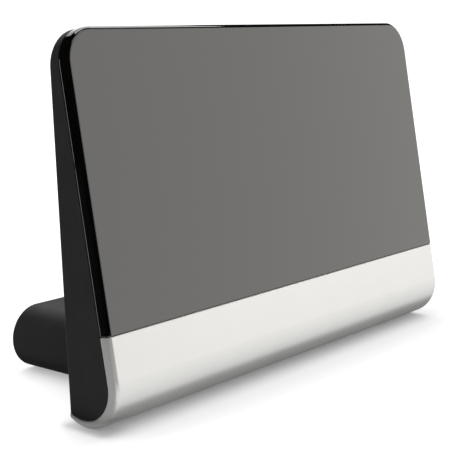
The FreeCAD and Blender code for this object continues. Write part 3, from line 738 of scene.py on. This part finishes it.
@dataclass
class Housing(Assembly):
    """The rear shell, with the screws that hold it to the panel and the trim."""

    nodes: dict[str, Slot] = field(default_factory=lambda: {"rear_housing": Slot.BLACK_SHELL})
    lean: Lean = field(default_factory=Lean)
    width: float = 0.220
    panel_top: float = 0.1402
    split_height: float = 0.0355
    post_inset: float = 0.022
    post_top_margin: float = 0.020
    post_split_margin: float = 0.012
    trim_post_inset: float = 0.014
    seat_reach: float = 0.0069
    screw_length: float = 0.0043

    def screw_places(self) -> list[Vector]:
        """List the seats of the housing's screws.

        Returns:
            Two places at the top, two above the split and two in the trim.
        """
        cosine = math.cos(self.lean.angle)
        sine = math.sin(self.lean.angle)
        top = self.panel_top / cosine
        split = self.split_height / cosine
        radius = self.lean.trim_radius
        arc = (self.lean.stand_off + radius + radius * sine) / cosine
        rows = ((self.post_inset, top - self.post_top_margin),
                (self.post_inset, split + self.post_split_margin),
                (self.trim_post_inset, (arc + split) / 2))
        return [self.lean.place(side * (self.width / 2 - inset), self.seat_reach, rise)
                for inset, rise in rows for side in (-1, 1)]

    def build(self, palette: Palette) -> None:
        """Make the screws in the wells of the back."""
        turn = -math.pi / 2 - self.lean.angle
        Screws("housing_screws", self.screw_places(), turn, self.screw_length).build(palette)


@dataclass
class Foot(Assembly):
    """The foot behind the housing, with its end cover, sockets, amplifier and screws."""

    nodes: dict[str, Slot] = field(default_factory=lambda: {
        "foot_shell": Slot.BLACK_SHELL,
        "end_cover": Slot.BLACK_SHELL,
        "amplifier_board": Slot.CIRCUIT_BOARD,
        "shield_can": Slot.TIN_PLATE,
        "aerial_insulator": Slot.WHITE_INSULATOR,
        "aerial_contact": Slot.BRASS_CONTACT,
        "power_socket": Slot.BLACK_INSULATOR,
        "power_pin": Slot.NICKEL,
    })
    width: float = 0.1576
    axis: float = 0.0134
    cover_back: float = 0.0339
    cover_screw_inset: float = 0.0052
    cover_screw_length: float = 0.008
    foot_screw_inset: float = 0.0208
    foot_screw_pitch: float = 0.028
    foot_screw_length: float = 0.009
    socket: AerialSocket = field(default_factory=AerialSocket)

    def build(self, palette: Palette) -> None:
        """Make the screws of the cover and of the foot, and the threaded socket.

        Args:
            palette: The materials.
        """
        out = self.width / 2 - self.cover_screw_inset
        places = [Vector((side * out, self.cover_back, self.axis)) for side in (-1, 1)]
        Screws("cover_screws", places, -math.pi / 2, self.cover_screw_length).build(palette)
        outer = self.width / 2 - self.foot_screw_inset
        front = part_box("foot_screws")[0].y + Screws.head_height
        places = [Vector((side * across, front, self.axis))
                  for across in (outer - self.foot_screw_pitch, outer) for side in (-1, 1)]
        Screws("foot_screws", places, math.pi / 2, self.foot_screw_length).build(palette)
        self.socket.build(palette)


@dataclass
class Pads(Assembly):
    """The rubber pads that the antenna stands on."""

    nodes: dict[str, Slot] = field(default_factory=lambda: {
        "front_pads": Slot.RUBBER_PAD,
        "rear_pads": Slot.RUBBER_PAD,
    })


def grey(level: float) -> Colour:
    """Give one level to all three colours."""
    return (level, level, level)


DARK = grey(0.004)


@dataclass(frozen=True)
class Card:
    """A studio card that only shiny surfaces see, or a flag that only shades the floor.

    Its light is its glow, which drops by the share fall from one end of its width to the other, or grows
    where that is below zero. It faces a point, and roll turns it about its own middle, in degrees.
    """

    name: str
    centre: Point
    faces: Point
    width: float
    height: float
    glow: Colour
    fall: float = 0.0
    roll: float = 0.0
    shades: bool = False
    half: ClassVar[float] = 0.5

    def build(self) -> bpy.types.Object:
        """Make the card.

        Returns:
            The card, turned to face its point.
        """
        shell = bmesh.new()
        bmesh.ops.create_grid(shell, x_segments=2, y_segments=2, size=self.half)
        mesh = bpy.data.meshes.new(self.name)
        shell.to_mesh(mesh)
        shell.free()
        card = new_piece(self.name, mesh)
        card.location = self.centre
        card.scale = (self.width, self.height, 1.0)
        aim = (Vector(self.faces) - Vector(self.centre)).to_track_quat("Z", "Y")
        spin = Quaternion((0.0, 0.0, 1.0), math.radians(self.roll))
        card.rotation_euler = (aim @ spin).to_euler()
        card.visible_camera = False
        card.visible_diffuse = self.shades
        card.visible_shadow = self.shades
        card.visible_glossy = not self.shades
        card.visible_transmission = False
        material = bpy.data.materials.new(self.name)
        material.use_nodes = True
        material.node_tree.nodes.clear()
        graph = Graph(material.node_tree)
        across = graph.add("ShaderNodeSeparateXYZ", {0: graph.add("ShaderNodeTexCoord").outputs["Object"]})
        strength = graph.span(across.outputs[0], -self.half, self.half, 1.0, 1.0 - self.fall)
        light = graph.add("ShaderNodeEmission", {"Color": (*self.glow, 1.0), "Strength": strength})
        graph.add("ShaderNodeOutputMaterial", {"Surface": light.outputs[0]})
        mesh.materials.append(material)
        return card


@dataclass
class Studio:
    """The pale floor, the soft light and the camera."""

    camera_place: Point = (-0.38929, -0.31966, 0.14174)
    camera_turn: Point = (80.231, 0.264, -50.936)
    lens: float = 95.236
    sensor: float = 36.0
    floor_size: float = 12.0
    floor_segments: int = 8
    paper_tones: tuple[float, float] = (0.76, 0.79)
    paper_roughness: float = 0.9
    fibre_scale: float = 900.0
    # The floor's painted glow, and how far from the base its painted contact shadow reaches.
    painted_floor_glow: tuple[float, float] = (0.05, 0.33)
    painted_shade_reach: tuple[float, float] = (0.006, 0.036)
    base_half: float = 0.125
    base_line: float = -0.045
    sky: float = 1.3
    ground: float = 0.03
    horizon: tuple[float, float] = (-0.12, -0.02)
    lamp_power: float = 6.0
    lamp_size: float = 1.6
    lamp_place: Point = (-0.3, -0.3, 1.7)
    cards: tuple[Card, ...] = (
        Card("front_card", centre=(1.26, -0.84, -0.065), faces=(0.0, -0.05, -0.065),
             width=1.25, height=1.37, glow=(1.45, 1.425, 1.365), fall=-0.206),
        # The cards that lie on the floor stand in for the floor in what shiny surfaces reflect: a painted
        # reflection, kept dimmer close to and under the antenna as painted shade.
        Card("floor_card", centre=(0.35, -0.126, 0.001), faces=(0.35, -0.126, 1.0),
             width=1.1, height=0.128, glow=(1.26, 1.26, 1.24)),
        Card("near_floor_shade_strip", centre=(0.35, -0.055, 0.001), faces=(0.35, -0.055, 1.0),
             width=1.1, height=0.014, glow=(1.05, 1.05, 1.04)),
        Card("under_shade_strip", centre=(0.35, -0.029, 0.001), faces=(0.35, -0.029, 1.0),
             width=1.1, height=0.038, glow=grey(0.18)),
        Card("left_floor", centre=(-0.14, -0.005, 0.001), faces=(-0.14, -0.005, 1.0),
             width=0.06, height=0.10, glow=grey(0.3)),
        Card("side_floor", centre=(-0.42, 0.28, 0.001), faces=(-0.42, 0.28, 1.0),
             width=0.5, height=0.5, glow=grey(0.018)),
        Card("side_flag", centre=(-0.80, 0.44, 0.25), faces=(-0.11, -0.03, 0.25),
             width=1.4, height=1.7, glow=DARK),
        Card("camera_flag", centre=(-0.68, -0.86, 0.45), faces=(-0.11, -0.03, 0.45),
             width=2.4, height=2.1, glow=DARK),
        Card("high_flag", centre=(-0.55, 0.10, 1.2), faces=(-0.55, 0.10, 0.0),
             width=2.0, height=2.0, glow=DARK),
        Card("corner_flag", centre=(-0.322, 0.966, 0.66), faces=(-0.106, -0.01, 0.66),
             width=1.04, height=0.94, glow=DARK),
        Card("top_flag", centre=(1.430, -0.159, 0.938), faces=(0.190, 0.151, -0.042),
             width=2.2, height=0.6, glow=grey(0.02), roll=-24.0),
        Card("line_flag", centre=(1.029, -0.777, 1.233), faces=(-0.211, -0.467, 0.253),
             width=0.55, height=0.7, glow=grey(0.02)),
        Card("strip_card", centre=(1.108, -0.185, 1.337), faces=(-0.132, 0.125, 0.357),
             width=1.05, height=0.4, glow=grey(4.0), roll=-24.0),
        Card("top_card", centre=(0.992, 0.954, 0.934), faces=(-0.268, 0.168, 0.335),
             width=0.57, height=1.4, glow=grey(2.4), roll=-37.0),
        Card("right_flag", centre=(1.351, 0.627, 0.609), faces=(0.091, -0.159, 0.010),
             width=0.6, height=1.4, glow=grey(0.02), roll=-37.0),
        Card("corner_card", centre=(0.40, 0.10, 1.15), faces=(0.40, 0.10, 0.0),
             width=0.8, height=0.8, glow=grey(3.5)),
        Card("foot_flag", centre=(0.19, 0.30, 0.095), faces=(-0.07, 0.02, 0.095),
             width=0.5, height=0.19, glow=grey(0.05)),
        Card("rear_card", centre=(0.45, 1.25, 0.0), faces=(0.45, 0.0, 0.0),
             width=1.9, height=1.4, glow=grey(1.8)),
        # A hidden black sheet just above the floor by the left end, which casts a painted contact shadow
        # there.
        Card("left_end_shadow_sheet", centre=(-0.1076, -0.030, 0.005), faces=(-0.1076, -0.030, 1.0),
             width=0.0115, height=0.024, glow=grey(0.0), shades=True),
    )

    def build(self) -> None:
        """Make the whole studio."""
        bpy.context.scene.view_settings.view_transform = "Standard"
        self.make_floor()
        self.make_sky()
        self.make_lamp()
        self.make_camera()
        for card in self.cards:
            card.build()

    def make_floor(self) -> None:
        """Lay the pale floor, with a glow painted into it that is dimmest along the antenna's base."""
        shell = bmesh.new()
        bmesh.ops.create_grid(shell, x_segments=self.floor_segments, y_segments=self.floor_segments,
                              size=self.floor_size / 2)
        mesh = bpy.data.meshes.new("floor")
        shell.to_mesh(mesh)
        shell.free()
        floor = new_piece("floor", mesh)
        floor.visible_glossy = False
        material = bpy.data.materials.new("floor_paper_painted_glow")
        material.use_nodes = True
        material.node_tree.nodes.clear()
        graph = Graph(material.node_tree)
        place = graph.add("ShaderNodeTexCoord").outputs["Object"]
        fibre = graph.add("ShaderNodeTexNoise", {"Vector": place, "Scale": self.fibre_scale})
        tones = graph.add("ShaderNodeValToRGB", {"Fac": fibre.outputs[0]})
        for stop, tone in zip(tones.color_ramp.elements, self.paper_tones):
            stop.color = (*grey(tone), 1.0)
        paper = graph.add("ShaderNodeBsdfPrincipled", {
            "Base Color": tones.outputs[0],
            "Roughness": self.paper_roughness,
            "Specular IOR Level": 0.0,
            # The floor glows by itself: painted light, dimmest along the base as a painted contact shadow.
            "Emission Color": (1.0, 1.0, 1.0, 1.0),
            "Emission Strength": self.glow(graph, place),
        })
        graph.add("ShaderNodeOutputMaterial", {"Surface": paper.outputs[0]})
        mesh.materials.append(material)

    def glow(self, graph: Graph, place: bpy.types.NodeSocket) -> bpy.types.NodeSocket:
        """Paint a glow into the floor, dimmest near the front edge that the antenna stands on: painted light,
        with a painted contact shadow along the base.

        Args:
            graph: The floor's nodes.
            place: The floor's own coordinates.

        Returns:
            The socket of the glow's strength.
        """
        across, along, _ = graph.add("ShaderNodeSeparateXYZ", {0: place}).outputs
        aside = graph.math("SUBTRACT", graph.math("ABSOLUTE", across), self.base_half)
        beyond = graph.math("MAXIMUM", aside, 0.0)
        ahead = graph.math("SUBTRACT", along, self.base_line)
        square = graph.math("ADD", graph.math("MULTIPLY", beyond, beyond),
                            graph.math("MULTIPLY", ahead, ahead))
        return graph.span(graph.math("SQRT", square), *self.painted_shade_reach, *self.painted_floor_glow)

    def make_sky(self) -> None:
        """Surround the object with white above the horizon and dark below it."""
        world = bpy.data.worlds.new("studio")
        bpy.context.scene.world = world
        world.use_nodes = True
        world.node_tree.nodes.clear()
        graph = Graph(world.node_tree)
        heading = graph.add("ShaderNodeTexCoord").outputs["Generated"]
        up = graph.add("ShaderNodeSeparateXYZ", {0: heading}).outputs[2]
        strength = graph.span(up, *self.horizon, self.ground, self.sky)
        light = graph.add("ShaderNodeBackground", {"Color": (1.0, 1.0, 1.0, 1.0), "Strength": strength})
        graph.add("ShaderNodeOutputWorld", {"Surface": light.outputs[0]})

    def make_lamp(self) -> None:
        """Hang the soft lamp over the object."""
        lamp = bpy.data.lights.new("soft_lamp", "AREA")
        lamp.energy = self.lamp_power
        lamp.size = self.lamp_size
        holder = bpy.data.objects.new("soft_lamp", lamp)
        holder.location = self.lamp_place
        holder.rotation_euler = (-Vector(self.lamp_place)).to_track_quat("-Z", "Y").to_euler()
        holder.visible_glossy = False
        bpy.context.scene.collection.objects.link(holder)

    def make_camera(self) -> None:
        """Stand the camera where the photograph was taken from."""
        lens = bpy.data.cameras.new("camera")
        lens.lens = self.lens
        lens.sensor_width = self.sensor
        camera = bpy.data.objects.new("camera", lens)
        camera.location = self.camera_place
        camera.rotation_euler = Euler([math.radians(angle) for angle in self.camera_turn])
        bpy.context.scene.collection.objects.link(camera)
        bpy.context.scene.camera = camera


def main() -> None:
    """Dress the solids, add the detailed pieces and set up the studio."""
    logging.basicConfig(level=logging.INFO, format="%(message)s")
    palette = Palette(FINISHES)
    for assembly in (Fascia(), Receiver(), Housing(), Foot(), Pads()):
        assembly.dress(palette)
        assembly.build(palette)
    Studio().build()


if __name__ == "__main__":
    main()
